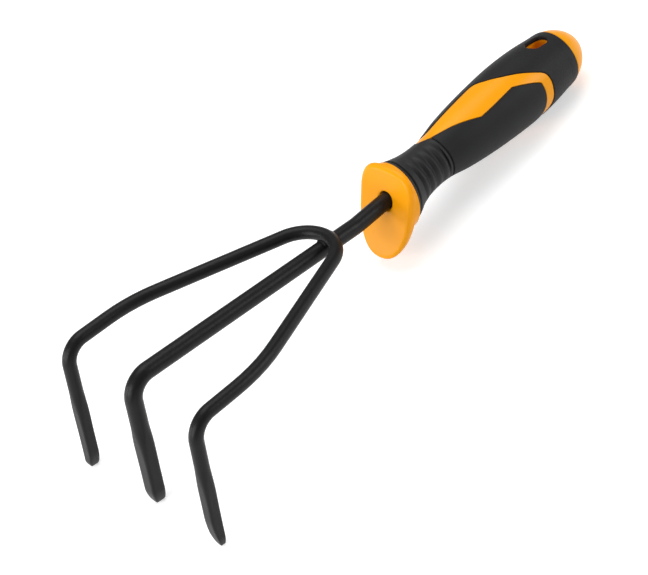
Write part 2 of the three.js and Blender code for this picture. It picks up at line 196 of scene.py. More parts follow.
rod_segments = 48
bar_radius = 4.2  # with its coat
corner_radius = 11
crank_radius = 20
centre_tine_length = 69.8
centre_tine_lean = math.radians(2.2)
centre_tip_wear = 0.5
tang_length = 84
tang_flat_length = 16
tang_flat_thickness = 5.6
tang_flat_fade = 2  # it turns round again from this far before its end to this far past it
pressed_length = 46
press_fade = 26  # stretch over which the round rod turns square
pressed_across = 0.9  # half the width across, as a share of the rod's radius
pressed_deep = 0.86
pressed_squareness = 7
spear_curve = 1.5
# a tine's rings crowd towards its tip, and are evenly spaced over the rest of the pressed length
tip_height = 12
tip_rings = 20
upper_ring_step = 1.5
upper_rings = 23
tine_heights = [tip_height * (ring / tip_rings) ** 2 for ring in range(tip_rings + 1)]
tine_heights += [tip_height + upper_ring_step * ring for ring in range(1, upper_rings + 1)]


class BentRod:
    """A rod fed straight and bent round dies, one station after another."""

    def __init__(self, radius, start, towards):
        self.made = bmesh.new()
        self.end = start.copy()
        self.heading = (towards - start).normalized()
        turn = self.heading.to_track_quat("Z", "Y").to_matrix().to_4x4()
        bmesh.ops.create_circle(
            self.made, segments=rod_segments, radius=radius, matrix=Matrix.Translation(start) @ turn
        )
        self.ring = self.made.edges[:]
        self.ends = [self.ring]

    def feed(self, lengths):
        """Pushes the rod on by each length in turn."""
        for length in lengths:
            grown = bmesh.ops.extrude_edge_only(self.made, edges=self.ring)["geom"]
            moved = {item for item in grown if isinstance(item, bmesh.types.BMVert)}
            bmesh.ops.translate(self.made, verts=list(moved), vec=self.heading * length)
            edges = [item for item in grown if isinstance(item, bmesh.types.BMEdge)]
            self.ring = [edge for edge in edges if moved.issuperset(edge.verts)]
            self.end += self.heading * length

    def bend(self, towards, radius, step=math.radians(4)):
        """Bends the rod until it heads towards a direction."""
        turn = self.heading.angle(towards)
        axis = self.heading.cross(towards).normalized()
        centre = self.end + axis.cross(self.heading) * radius
        verts = list({vert for edge in self.ring for vert in edge.verts})
        swept = bmesh.ops.spin(
            self.made,
            geom=verts + self.ring,
            cent=centre,
            axis=axis,
            angle=turn,
            steps=max(3, math.ceil(turn / step)),
            use_merge=False,
        )["geom_last"]
        self.ring = [item for item in swept if isinstance(item, bmesh.types.BMEdge)]
        spin = Quaternion(axis, turn)
        self.end = centre + spin @ (self.end - centre)
        self.heading = spin @ self.heading

    def close(self):
        """Caps both ends."""
        for ring in (self.ends[0], self.ring):
            bmesh.ops.edgeloop_fill(self.made, edges=ring)
        bmesh.ops.recalc_face_normals(self.made, faces=self.made.faces[:])
        return self.made


def bend_along(radius, corners, bend_radii, first_heights, last_heights):
    """A rod through corners. The heights are where its two ends have rings."""
    rod = BentRod(radius, corners[0], corners[1])
    reach = 0
    for i, corner in enumerate(corners[1:], 1):
        run = (corner - rod.end).length
        after = None
        if i < len(corners) - 1:
            after = (corners[i + 1] - corner).normalized()
            run -= bend_radii[i - 1] * math.tan(rod.heading.angle(after) / 2)
        steps = []
        if i == 1:
            steps = [high - low for low, high in zip(first_heights, first_heights[1:])]
        if i == len(corners) - 1:
            steps = [high - low for low, high in zip(last_heights, last_heights[1:])][::-1]
            steps.insert(0, run - sum(steps))
        else:
            steps.append(run - sum(steps))
        rod.feed(steps)
        if after:
            rod.bend(after, bend_radii[i - 1])
    return rod.close()


def cut_back(side, half, height):
    """How far a side of a tine stands out at a height, given where its cut ends and how long it is."""
    edge, length = side
    if height >= length:
        return half
    place = 1 - max(height, 0) / length
    return edge + (half - edge) * (1 - place**spear_curve) ** (1 / spear_curve)


def press_tine(made, radius, corner, tip, left, right, front, rear):
    """Squares the lower end of a tine and cuts back its four sides to a spear.

    Each side is given as how far it stands out at the very end, and how long its cut is.
    """
    up = (corner - tip).normalized()
    across = (Vector((0, 1, 0)) - up * up.y).normalized()
    deep = across.cross(up)
    for vert in made.verts:
        offset = vert.co - tip
        height = offset.dot(up)
        width = offset.dot(across)
        depth = offset.dot(deep)
        if height > pressed_length or math.hypot(width, depth) > radius * 1.5:
            continue  # another part of the rod
        pressed = min(1, (pressed_length - height) / press_fade)
        pressed = pressed * pressed * (3 - 2 * pressed)
        squareness = 2 + (pressed_squareness - 2) * pressed
        width /= radius
        depth /= radius
        swell = (abs(width) ** squareness + abs(depth) ** squareness) ** (-1 / squareness)
        half_width = radius * (1 + (pressed_across - 1) * pressed)
        half_depth = radius * (1 + (pressed_deep - 1) * pressed)
        to_left = cut_back(left, half_width, height) * (1 + width * swell) / 2
        to_right = cut_back(right, half_width, height) * (1 - width * swell) / 2
        to_rear = cut_back(rear, half_depth, height) * (1 + depth * swell) / 2
        to_front = cut_back(front, half_depth, height) * (1 - depth * swell) / 2
        vert.co = tip + up * height + across * (to_left - to_right) + deep * (to_rear - to_front)


def lean(angle, length):
    """The way down a tine that leans away from the handle."""
    return Vector((-math.sin(angle), 0, -math.cos(angle))) * length


def new_piece(name, made, place, material, sharp=None):
    """Turns a finished shape into a piece of the tool, which rides on its one body."""
    made.transform(place)
    for face in made.faces:
        face.smooth = True
    mesh = bpy.data.meshes.new(name)
    made.to_mesh(mesh)
    made.free()
    if sharp:
        mesh.set_sharp_from_angle(angle=sharp)
    mesh.materials.append(material)
    piece = bpy.data.objects.new(name, mesh)
    bpy.context.scene.collection.objects.link(piece)
    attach(piece, "root")
    return piece


def powder_coat(name, colour, roughness, peel):
    """Satin black powder coat: an even colour, with the pebbled skin of a baked coat."""
    material, start = new_material(name)
    where = start.node("ShaderNodeTexCoord", output=3)
    fine = start.node("ShaderNodeTexNoise", sockets={"Vector": where, "Scale": 1100, "Detail": 3})
    broad = start.node("ShaderNodeTexNoise", sockets={"Vector": where, "Scale": 90, "Detail": 4})
    dark = tuple(part * 0.85 for part in colour) + (1,)
    light = tuple(part * 1.2 for part in colour) + (1,)
    tone = start.node(
        "ShaderNodeMix", {"data_type": "RGBA"}, {0: broad, 6: dark, 7: light}, output=2
    )
    bump = start.node(
        "ShaderNodeBump", sockets={"Height": fine, "Strength": 0.6, "Distance": peel}
    )
    coat = start.node(
        "ShaderNodeBsdfPrincipled",
        sockets={
            "Base Color": tone,
            "Roughness": roughness - 0.05 + fine * 0.1,
            "Metallic": 0,
            "IOR": 1.5,
            "Specular IOR Level": 0.2,
            "Normal": bump,
        },
    )
    start.node("ShaderNodeOutputMaterial", sockets={"Surface": coat})
    return material


coated_steel = powder_coat(
    "black_powder_coat", (0.006, 0.006, 0.0063), roughness=0.4, peel=0.00014
)

centre_corner = Vector((0, 0, 0))
centre_tip = lean(centre_tine_lean, centre_tine_length - centre_tip_wear)
crank_corner = Vector((crank_from_tine, 0, 0))
tang_axis = Vector((math.cos(crank_angle), 0, math.sin(crank_angle)))
guard_at = crank_corner + tang_axis * crank_to_guard
tang_end = guard_at + tang_axis * tang_length

bar = bend_along(
    bar_radius,
    [centre_tip, centre_corner, crank_corner, tang_end],
    [corner_radius, crank_radius],
    tine_heights,
    [0, tang_flat_length - tang_flat_fade, tang_flat_length + tang_flat_fade],
)
press_tine(
    bar,
    bar_radius,
    centre_corner,
    centre_tip,
    left=(1, 7),
    right=(0.9, 8),
    front=(0.95, 8),
    rear=(3.1, 1.2),
)
tang_up = Vector((-math.sin(crank_angle), 0, math.cos(crank_angle)))
for vert in bar.verts:
    along = (vert.co - guard_at).dot(tang_axis)
    high = (vert.co - guard_at).dot(tang_up)
    if along > tang_length - tang_flat_length and abs(high) > tang_flat_thickness / 2:
        vert.co -= tang_up * (high - math.copysign(tang_flat_thickness / 2, high))
centre_tine = new_piece("tine_and_bar", bar, bar_place, coated_steel, sharp=math.radians(50))
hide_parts("centre_tine_bar")


# ---- outer tines ------------------------------------------------------------------------------
# One 6.5 mm steel rod, bent into both outer tines, their corners, the kinks where the arms turn
# inwards and the tight bend that crosses the bar, where it is squeezed down before it is welded.

outer_rod_radius = 3.42  # with its coat
outer_tine_lean = math.radians(2.7)
outer_tine_length = 70.2
left_tip_wear = 0.3
right_tip_wear = 1
outer_half = 45.2
outer_splay = 0.5
outer_corner_at = -1.6
outer_corner_height = -0.2
# the kinks are bent by hand, a little unlike each other
left_kink_from_tine = 38.6
left_kink_tuck = 0.4
left_kink_radius = 75
right_kink_from_tine = 41.1
right_kink_tuck = 1.2
right_kink_radius = 90
kink_height = 1.9
crossing_from_tine = 123.1
crossing_radius = 18.2
crossing_set_down = 1.65
bar_seat = bar_radius + 0.05  # the rod is squeezed flat against the bar at this radius
crossing_height = bar_radius + outer_rod_radius - crossing_set_down

left_corner = Vector((outer_corner_at, outer_half, outer_corner_height))
left_tip = left_corner + lean(outer_tine_lean, outer_tine_length - left_tip_wear)
left_tip.y += outer_splay
left_kink = Vector((outer_corner_at + left_kink_from_tine, outer_half - left_kink_tuck, kink_height))
apex_at = crossing_from_tine + crossing_radius
for _ in range(12):
    half_angle = math.atan2(left_kink.y, apex_at - left_kink.x)
    apex_at = crossing_from_tine + crossing_radius * (1 / math.sin(half_angle) - 1)
climb = (crossing_height - left_kink.z) / (crossing_from_tine - left_kink.x)
apex = Vector((apex_at, 0, left_kink.z + climb * (apex_at - left_kink.x)))
right_corner = Vector((outer_corner_at, -outer_half, outer_corner_height))
right_tip = right_corner + lean(outer_tine_lean, outer_tine_length - right_tip_wear)
right_tip.y -= outer_splay
right_kink = Vector((outer_corner_at + right_kink_from_tine, right_kink_tuck - outer_half, kink_height))

outer_rod = bend_along(
    outer_rod_radius,
    [left_tip, left_corner, left_kink, apex, right_kink, right_corner, right_tip],
    [corner_radius, left_kink_radius, crossing_radius, right_kink_radius, corner_radius],
    tine_heights,
    tine_heights,
)
press_tine(
    outer_rod,
    outer_rod_radius,
    left_corner,
    left_tip,
    left=(1.9, 3),
    right=(-0.5, 9.5),
    front=(0.95, 4),
    rear=(2.1, 2),
)
press_tine(
    outer_rod,
    outer_rod_radius,
    right_corner,
    right_tip,
    left=(-0.5, 8),
    right=(1.2, 6),
    front=(-0.7, 17),
    rear=(2.8, 1.2),
)
for vert in outer_rod.verts:
    from_bar = math.hypot(vert.co.y, vert.co.z)
    if from_bar < bar_seat:
        vert.co.yz = vert.co.yz * (bar_seat / from_bar)
outer_tines = new_piece("outer_tines", outer_rod, bar_place, coated_steel, sharp=math.radians(50))
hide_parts("outer_tine_rod")


# ---- welds ------------------------------------------------------------------------------------
# Two short fillets of weld metal in the notches where the outer rod crosses the bar, one on each
# side of it, smoothed over by the same coat.

weld_sag = 0.1
weld_ripple = 0.03
weld_pitch = 1.7

weld_coat = powder_coat("coated_weld", (0.0056, 0.0056, 0.0059), roughness=0.45, peel=0.00018)
# name, node, distance from the rod's middle, height, slope, half width, half thickness, half length
for name, node, offset, height, slope, wide, thick, weld_half_length in (
    ("weld_fillet_front", "weld_bead_front", -2.6, 4.2, math.radians(225), 1.4, 0.7, 3.1),
    ("weld_fillet_rear", "weld_bead_rear", 3.5, 5, math.radians(-41), 3.5, 1.5, 4.9),
):
    bead = bmesh.new()
    bmesh.ops.create_uvsphere(bead, u_segments=40, v_segments=48, radius=1)
    bend_centre = crossing_from_tine - crossing_radius
    for vert in bead.verts:
        along = vert.co.z * weld_half_length
        ripple = 1 + weld_ripple * math.cos(2 * math.pi * along / weld_pitch)
        down_slope = vert.co.x * wide * ripple
        proud = vert.co.y * thick * ripple
        outwards = offset + down_slope * math.cos(slope) - proud * math.sin(slope)
        upwards = height + down_slope * math.sin(slope) + proud * math.cos(slope)
        turn = along / (crossing_radius + offset)
        reach = crossing_radius + outwards
        vert.co = (
            bend_centre + reach * math.cos(turn),
            reach * math.sin(turn),
            upwards - weld_sag * along * along,
        )
    bmesh.ops.recalc_face_normals(bead, faces=bead.faces[:])
    weld = new_piece(name, bead, bar_place, weld_coat)
    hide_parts(node)


# ---- handle core ------------------------------------------------------------------------------
# First shot of the handle, in orange polypropylene moulded round the tang: the dished hand guard
# with its forward-leaning lobe, the tube under the grips, the raised ribbon and the domed butt.

round_segments = 144
gap = 0.3
grip_thickness = 2.2
ribbon_inset = 0.35
seam_at = 5.4
seam_slope = math.tan(math.radians(9.5))
cap_seam_at = 129.6
dome_centre = 124
dome_radius = 16.3
dome_length = 20.7
dome_squareness = 1.88
grip_lift = 0.75  # the grip's middle stands a little above the tang's
lift_from = 4
lift_over = 14
butt_flat_radius = 5
groove_at = 36.4
groove_width = 0.8
bore_radius = bar_radius + gap
bore_end = tang_length + gap
# place along the handle, radius
grip_profile = [
    (2, 18.4), (5, 17.3), (9, 15.9), (13.5, 14.1), (20, 12.5), (29, 11.8), (37, 12.3), (48, 14.5),
    (62, 16.35), (78, 17.7), (94, 18.4), (110, 17.85), (dome_centre, dome_radius),
]
guard_half_width = 17.4
guard_top_height = 16.7
guard_lobe_height = 27.2
guard_top_squareness = 3
guard_lobe_squareness = 2.32
guard_top_at = 2.9
guard_lean = 17.3
guard_lean_curve = 1.37
guard_dish = 0.8
guard_edge = 2.5  # radius of its rounded rim
guard_over_neck = 0.25
face_steps = 16
edge_steps = 9
edge_fullness = 0.6
flank_steps = 9
flank_fullness = 0.34
flank_bulge = 0.75
# radius, depth behind the guard's face
hole_lip = [
    (bore_radius, 1.1), (bore_radius + 0.08, 0.6), (bore_radius + 0.3, 0.25), (bore_radius + 0.75, 0.02)
]


def smooth_through(points, steps):
    """Points of a smooth curve through given ones, with some steps between each two."""
    curve = []
    for i in range(len(points) - 1):
        here, there = points[i], points[i + 1]
        before = points[i - 1] if i else here
        after = points[i + 2] if i + 2 < len(points) else there
        for step in range(steps):
            t = step / steps
            blend = (
                (-0.5 * t + t * t - 0.5 * t**3),
                (1 - 2.5 * t * t + 1.5 * t**3),
                (0.5 * t + 2 * t * t - 1.5 * t**3),
                (-0.5 * t * t + 0.5 * t**3),
            )
            corners = (before, here, there, after)
            curve.append(
                tuple(
                    sum(share * corner[axis] for share, corner in zip(blend, corners))
                    for axis in range(len(here))
                )
            )
    curve.append(tuple(points[-1]))
    return curve


def grip_radius(x):
    """Radius of the grip: a smooth curve through the profile, then the butt's dome."""
    if x > dome_centre:
        over = ((x - dome_centre) / dome_length) ** dome_squareness
        return dome_radius * max(0, 1 - over) ** (1 / dome_squareness)
    last = len(grip_profile) - 1
    after = next(i for i in range(1, last + 1) if grip_profile[i][0] >= x)

    def slope(i):
        low = grip_profile[max(i - 1, 0)]
        high = grip_profile[min(i + 1, last)]
        return (high[1] - low[1]) / (high[0] - low[0])

    begin, begin_radius = grip_profile[after - 1]
    finish, finish_radius = grip_profile[after]
    span = finish - begin
    t = max(0, (x - begin) / span)
    return (
        begin_radius * (1 + 2 * t) * (1 - t) ** 2
        + finish_radius * t * t * (3 - 2 * t)
        + span * slope(after - 1) * t * (1 - t) ** 2
        - span * slope(after) * t * t * (1 - t)
    )


def guard_outline(angle):
    """Radius of the guard's rim, at an angle from the top."""
    top = math.cos(angle) > 0
    height = guard_top_height if top else guard_lobe_height
    squareness = guard_top_squareness if top else guard_lobe_squareness
    across = abs(math.sin(angle) / guard_half_width) ** squareness
    along = abs(math.cos(angle) / height) ** squareness
    return (across + along) ** (-1 / squareness)


def guard_face(radius, angle):
    """Place of the guard's dished front face along the handle."""
    drop = max(guard_top_height - radius * math.cos(angle), 0) / (guard_top_height + guard_lobe_height)
    dish = guard_dish * (1 - (radius / guard_outline(angle)) ** 2)
    return guard_top_at - guard_lean * drop**guard_lean_curve + dish


def seam_place(angle):
    """Place and radius of the seam between the guard and the ribbed neck."""
    x = seam_at
    for _ in range(4):
        x = seam_at + seam_slope * grip_radius(x) * math.cos(angle)
    return x, grip_radius(x)


def lift(x):
    """How far the grip's middle stands above the tang's, at a place along the handle."""
    share = min(max((x - lift_from) / lift_over, 0), 1)
    return grip_lift * share * share * (3 - 2 * share)


def polar(x, radius, angle):
    """A point of the handle: place along it, distance from its middle, angle from the top."""
    return Vector((x, radius * math.sin(angle), radius * math.cos(angle) + lift(x)))


def bore(x, angle):
    """A point of the bore round the tang."""
    return Vector((x, bore_radius * math.sin(angle), bore_radius * math.cos(angle)))


def between(first, second, share):
    """A point part of the way from one to another."""
    return tuple(a + (b - a) * share for a, b in zip(first, second))


def arc_through(start, corner, finish, fullness, steps):
    """A curve that leaves the start for a corner and comes from it to the finish, without its start."""
    handles = (start, between(start, corner, fullness), between(finish, corner, fullness), finish)
    curve = []
    for step in range(1, steps + 1):
        points = handles
        while len(points) > 1:
            points = [between(a, b, step / steps) for a, b in zip(points, points[1:])]
        curve.append(points[0])
    return curve


def guard_section(angle):
    """Points (place, radius) from the hole for the bar, over the rim and back to the seam."""
    rim = guard_outline(angle)
    section = [(guard_face(radius, angle) + depth, radius) for radius, depth in hole_lip]
    inner = hole_lip[-1][0]
    for step in range(1, face_steps + 1):
        radius = inner + (rim - guard_edge - inner) * step / face_steps
        section.append((guard_face(radius, angle), radius))
    corner = (guard_face(rim, angle), rim)
    wall = (corner[0] + guard_edge, rim)
    section += arc_through(section[-1], corner, wall, edge_fullness, edge_steps)
    seam_x, seam_radius = seam_place(angle)
    seam = (seam_x, seam_radius + guard_over_neck)
    flank = seam_x - wall[0]
    middle = (wall[0] + flank / 2, (rim + seam[1]) / 2)
    flare_start = (wall[0] + flank * flank_fullness, rim)
    flare_end = (seam_x - flank * flank_fullness, seam[1])
    section += arc_through(wall, flare_start, middle, flank_bulge, flank_steps)
    section += arc_through(middle, flare_end, seam, flank_bulge, flank_steps)
    return section


def wrapped_sheet(columns, rows, place, closed=True):
    """A sheet of rows and columns put in place point by point, with its seams and poles closed."""
    made = bmesh.new()
    bmesh.ops.create_grid(made, x_segments=columns, y_segments=rows, size=1)
    for vert in made.verts:
        column = round((vert.co.x + 1) / 2 * columns)
        row = round((vert.co.y + 1) / 2 * rows)
        vert.co = place(column % columns if closed else column, row)
    bmesh.ops.remove_doubles(made, verts=made.verts[:], dist=1e-4)
    bmesh.ops.dissolve_degenerate(made, edges=made.edges[:], dist=1e-5)
    bmesh.ops.recalc_face_normals(made, faces=made.faces[:])
    return made


# the core as one skin: up the bore, over the guard, under the grips, and round the butt
tube_step = grip_thickness + gap
tube_start = seam_at + 4
tube_ring_step = 2
tube_rings = 59
tube_end = cap_seam_at - 0.4
tube_places = [tube_start + tube_ring_step * ring for ring in range(tube_rings)] + [tube_end]
guard_foot_sink = 0.3  # the foot of the guard's rear wall lies a little lower than the tube's step
bore_places = (bore_end, 60, 30, 12, 6)
flat_angle = math.acos(butt_flat_radius / dome_radius)
dome_start = math.asin((cap_seam_at - dome_centre) / dome_length)
dome_steps = 22
dome_places = [
    dome_centre + dome_length * math.sin(dome_start + (flat_angle - dome_start) * step / dome_steps)
    for step in range(dome_steps + 1)
]
cap_inset = 0.15
cap_lip = [(0.03, 1.2), (0.03, 0.4), (0.1, 0.14), (0.28, 0.03)]  # place past the seam, depth
flat_ring_inset = 0.3  # a ring on the butt's flat that keeps its rim crisp


def section_at(angle):
    """The guard's section at one of the core's columns."""
    return guard_sections[round(angle / (2 * math.pi) * round_segments)]


core_rows = [lambda angle: Vector((bore_end, 0, 0))]
core_rows += [lambda angle, x=x: bore(x, angle) for x in bore_places]
guard_sections = []
for column in range(round_segments):
    guard_sections.append(guard_section(2 * math.pi * column / round_segments))
for i in range(len(guard_sections[0])):
    core_rows.append(lambda angle, i=i: polar(*section_at(angle)[i], angle))
guard_foot = tube_step + guard_foot_sink
core_rows.append(
    lambda angle: polar(section_at(angle)[-1][0], section_at(angle)[-1][1] - guard_foot, angle)
)
for x in tube_places:
    core_rows.append(lambda angle, x=x: polar(x, grip_radius(x) - tube_step, angle))
for along, deep in cap_lip:
    x = cap_seam_at + along
    core_rows.append(lambda angle, x=x, d=deep: polar(x, grip_radius(x) - cap_inset - d, angle))
for x in dome_places[1:]:
    core_rows.append(lambda angle, x=x: polar(x, grip_radius(x) - cap_inset, angle))
butt_rim = grip_radius(dome_places[-1]) - cap_inset
core_rows.append(lambda angle: polar(dome_places[-1], butt_rim - flat_ring_inset, angle))
core_rows.append(lambda angle: polar(dome_places[-1], 0, angle))


def core_place(column, row):
    return core_rows[row](2 * math.pi * column / round_segments)


core = wrapped_sheet(round_segments, len(core_rows) - 1, core_place)

# The ribbon's two edges as (degrees from the top, place along the handle), station by station from
# its front tip on the far side, over the top, round the near side and back to its rear tip.
ribbon_front = [
    (63, 36.3), (52, 33.9), (40, 31.7), (27.2, 31.2), (14, 33.6), (2.5, 37), (-10.7, 42.9), (-22, 49.4),
    (-33, 55.7), (-43.6, 61.9), (-42.6, 69.5), (-41, 77), (-38.9, 85.6), (-49, 92.6), (-57, 97.6),
    (-64, 101.2), (-76, 101.5), (-87, 101.4), (-100, 100.9), (-114, 99.9), (-130, 97.5), (-146, 92),
    (-158, 84), (-168, 72), (-175, 57), (-180, 44), (-184, 37),
]
ribbon_corners = (9, 12, 15)  # stations where the front edge turns sharply
ribbon_rear = [
    (63, 36.7), (54, 36.8), (46, 36.85), (40, 37), (34, 38.4), (28, 42), (24.6, 46.5), (23.1, 53),
    (22.1, 61), (21.8, 68), (19.6, 74.8), (3, 80.2), (-14, 86.8), (-29, 94.4), (-43, 101.1),
    (-55, 106.1), (-70, 107.6), (-87, 107.4), (-102, 107), (-118, 105.8), (-135, 103.4), (-151, 98.3),
    (-165, 89.3), (-174.3, 77), (-180, 60), (-183.6, 46), (-186, 37),
]
ribbon_steps = 12
ribbon_edge = 0.22
ribbon_depth = 3


def turn_between(before, after):
    """Degrees from one angle to the next, the short way round."""
    return (after - before + 180) % 360 - 180


def eased(line, passes, closed):
    """A line over the grip with its corners slightly rounded."""
    for _ in range(passes):
        count = len(line)
        rounded = []
        for i, (angle, x) in enumerate(line):
            before = line[i - 1] if closed or i else line[i]
            after = line[(i + 1) % count] if closed or i < count - 1 else line[i]
            turn = turn_between(angle, before[0]) + turn_between(angle, after[0])
            rounded.append((angle + turn / 4, x + (before[1] + after[1] - 2 * x) / 4))
        if not closed:
            rounded[0], rounded[-1] = line[0], line[-1]
        line = rounded
    return line


def moved_line(line, distance, closed):
    """A line moved sideways over the grip, to the rear if the distance is positive."""
    moved = []
    count = len(line)
    for i, (angle, x) in enumerate(line):
        before = line[i - 1] if closed or i else line[i]
        after = line[(i + 1) % count] if closed or i < count - 1 else line[i]
        around = math.radians(turn_between(before[0], after[0])) * grip_radius(x)
        along = after[1] - before[1]
        size = math.hypot(around, along) or 1
        turn = math.degrees(along / size * distance / grip_radius(x))
        moved.append((angle + turn, x - around / size * distance))
    return moved


def evenly(line, step, closed):
    """A line's points spread evenly along it."""
    ends = line + line[:1] if closed else line
    places = [0]
    for before, after in zip(ends, ends[1:]):
        around = math.radians(turn_between(before[0], after[0])) * grip_radius(before[1])
        places.append(places[-1] + math.hypot(around, after[1] - before[1]))
    count = round(places[-1] / step)
    spread = []
    i = 0
    for k in range(count if closed else count + 1):
        place = places[-1] * k / count
        while i < len(places) - 2 and places[i + 1] < place:
            i += 1
        share = (place - places[i]) / max(places[i + 1] - places[i], 1e-9)
        before, after = ends[i], ends[i + 1]
        turn = turn_between(before[0], after[0])
        spread.append((before[0] + turn * share, before[1] + (after[1] - before[1]) * share))
    return spread


front_line = []
for begin, finish in zip((0,) + ribbon_corners, ribbon_corners + (len(ribbon_front) - 1,)):
    front_line += smooth_through(ribbon_front[begin : finish + 1], ribbon_steps)[:-1]
front_line.append(ribbon_front[-1])
front_line = eased(front_line, 2, closed=False)
rear_line = smooth_through(ribbon_rear, ribbon_steps)


def on_grip(place, depth, swell=0.0):
    """A point of the grip at (degrees, place), some depth below its surface."""
    angle, x = place
    return polar(x, grip_radius(x) + swell - depth, math.radians(angle))


def between_lines(first, second, share):
    """Points part of the way from one line to another."""
    return [
        (a[0] + (b[0] - a[0]) * share, a[1] + (b[1] - a[1]) * share) for a, b in zip(first, second)
    ]


def rounded_rim(line, edge, depth, inwards, closed, steps=4):
    """Lines up a rim's wall and round its edge, each with how deep it lies."""
    lines = [(line, depth)]
    for step in range(steps + 1):
        turn = math.pi / 2 * step / steps
        inset = edge * (1 - math.cos(turn))
        lines.append((moved_line(line, inwards * inset, closed), edge * (1 - math.sin(turn))))
    return lines


band_top_rows = 28
band_back_rows = 8
band_depth = ribbon_depth - ribbon_inset
band_front = moved_line(front_line, gap / 2, closed=False)
band_rear = moved_line(rear_line, -gap / 2, closed=False)
front_rim = rounded_rim(band_front, ribbon_edge, band_depth, 1, closed=False)
rear_rim = rounded_rim(band_rear, ribbon_edge, band_depth, -1, closed=False)
band_rows = front_rim[:]
for step in range(1, band_top_rows):
    band_rows.append((between_lines(front_rim[-1][0], rear_rim[-1][0], step / band_top_rows), 0))
band_rows += rear_rim[::-1]
for step in range(1, band_back_rows):
    band_rows.append((between_lines(band_rear, band_front, step / band_back_rows), band_depth))
band_rows.append(band_rows[0])


def band_place(column, row):
    line, depth = band_rows[row]
    return on_grip(line[column], depth + ribbon_inset)


band = wrapped_sheet(len(front_line) - 1, len(band_rows) - 1, band_place, closed=False)
bmesh.ops.holes_fill(band, edges=band.edges[:], sides=0)
bmesh.ops.recalc_face_normals(band, faces=band.faces[:])


def orange_polypropylene(name):
    """Semi-gloss injection-moulded polypropylene: an even orange, very slightly cloudy."""
    material, start = new_material(name)
    where = start.node("ShaderNodeTexCoord", output=3)
    cloud = start.node("ShaderNodeTexNoise", sockets={"Vector": where, "Scale": 45, "Detail": 3})
    skin = start.node("ShaderNodeTexNoise", sockets={"Vector": where, "Scale": 1800, "Detail": 2})
    deep = (0.94, 0.35, 0.001, 1)
    pale = (0.97, 0.38, 0.002, 1)
    tone = start.node(
        "ShaderNodeMix", {"data_type": "RGBA"}, {0: cloud, 6: deep, 7: pale}, output=2
    )
    bump = start.node(
        "ShaderNodeBump", sockets={"Height": skin, "Strength": 0.12, "Distance": 0.00003}
    )
    plastic = start.node(
        "ShaderNodeBsdfPrincipled",
        sockets={
            "Base Color": tone,
            "Roughness": 0.3 + cloud * 0.08,
            "IOR": 1.49,
            "Specular IOR Level": 0.18,
            "Normal": bump,
        },
    )
    start.node("ShaderNodeOutputMaterial", sockets={"Surface": plastic})
    return material


orange = orange_polypropylene("orange_polypropylene")

# the hang slot, straight through the butt end, with a softly rolled lip where it meets the grip
slot_at = 118.4
slot_length = 13
slot_width = 8.2
slot_segments = 66
slot_lip = [(1.5, -0.6), (0.6, 0), (0.3, 0.1), (0.12, 0.3), (0.02, 0.62)]  # spread, depth


def slot_punch():
    """A punch in the shape of the hang slot, flared where it leaves the grip."""
    made = bmesh.new()
    half = (slot_length - slot_width) / 2
    quarter_turn = Matrix.Rotation(math.pi / 2, 4, "Z")
    bmesh.ops.create_circle(made, segments=slot_segments, radius=1, matrix=quarter_turn)
    ring = made.edges[:]
    bottom = ring
    levels = [(spread, depth, -1) for spread, depth in slot_lip] + [
        (spread, depth, 1) for spread, depth in reversed(slot_lip)
    ]
    for i, (spread, depth, side) in enumerate(levels):
        if i:
            grown = bmesh.ops.extrude_edge_only(made, edges=ring)["geom"]
            moved = {item for item in grown if isinstance(item, bmesh.types.BMVert)}
            edges = [item for item in grown if isinstance(item, bmesh.types.BMEdge)]
            ring = [edge for edge in edges if moved.issuperset(edge.verts)]
        for vert in {vert for edge in ring for vert in edge.verts}:
            if i:
                turn = math.atan2(vert.co.y, vert.co.x - slot_at - math.copysign(half, vert.co.x - slot_at))
            else:
                turn = math.atan2(vert.co.y, vert.co.x)
            middle = slot_at + math.copysign(half, math.cos(turn))
            x = middle + (slot_width / 2 + spread) * math.cos(turn)
            y = (slot_width / 2 + spread) * math.sin(turn)
            z = side * (math.sqrt(grip_radius(x) ** 2 - y * y) - depth) + lift(x)
            vert.co = (x, y, z)
    for rim in (bottom, ring):
        bmesh.ops.edgeloop_fill(made, edges=rim)
    bmesh.ops.recalc_face_normals(made, faces=made.faces[:])
    return made


def punch_out(piece, tool):
    """Cuts a shape out of a piece."""
    tool.transform(handle_place)
    mesh = bpy.data.meshes.new("tool")
    tool.to_mesh(mesh)
    tool.free()
    other = bpy.data.objects.new("tool", mesh)
    bpy.context.scene.collection.objects.link(other)
    change = piece.modifiers.new("change", "BOOLEAN")
    change.operation = "DIFFERENCE"
    change.solver = "EXACT"
    change.object = other
    evaluated = piece.evaluated_get(bpy.context.evaluated_depsgraph_get())
    changed = bpy.data.meshes.new_from_object(evaluated)
    piece.modifiers.clear()
    old = piece.data
    piece.data = changed
    bpy.data.meshes.remove(old)
    bpy.data.objects.remove(other)
    bpy.data.meshes.remove(mesh)
    for polygon in changed.polygons:
        polygon.use_smooth = True
    changed.set_sharp_from_angle(angle=math.radians(40))


handle_core = new_piece("handle_core_moulding", core, handle_place, orange)
punch_out(handle_core, slot_punch())
with_ribbon = bmesh.new()
with_ribbon.from_mesh(handle_core.data)
band.transform(handle_place)
for face in band.faces:
    face.smooth = True
band_mesh = bpy.data.meshes.new("ribbon")
band.to_mesh(band_mesh)
band.free()
with_ribbon.from_mesh(band_mesh)
with_ribbon.to_mesh(handle_core.data)
with_ribbon.free()
bpy.data.meshes.remove(band_mesh)
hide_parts("handle_core")


# ---- ribbed neck ------------------------------------------------------------------------------
# Soft black rubber moulded over the neck: a smooth lip against the guard with a fine groove behind
# it, four low ribs for the thumb and finger, and a narrow groove before the grips.

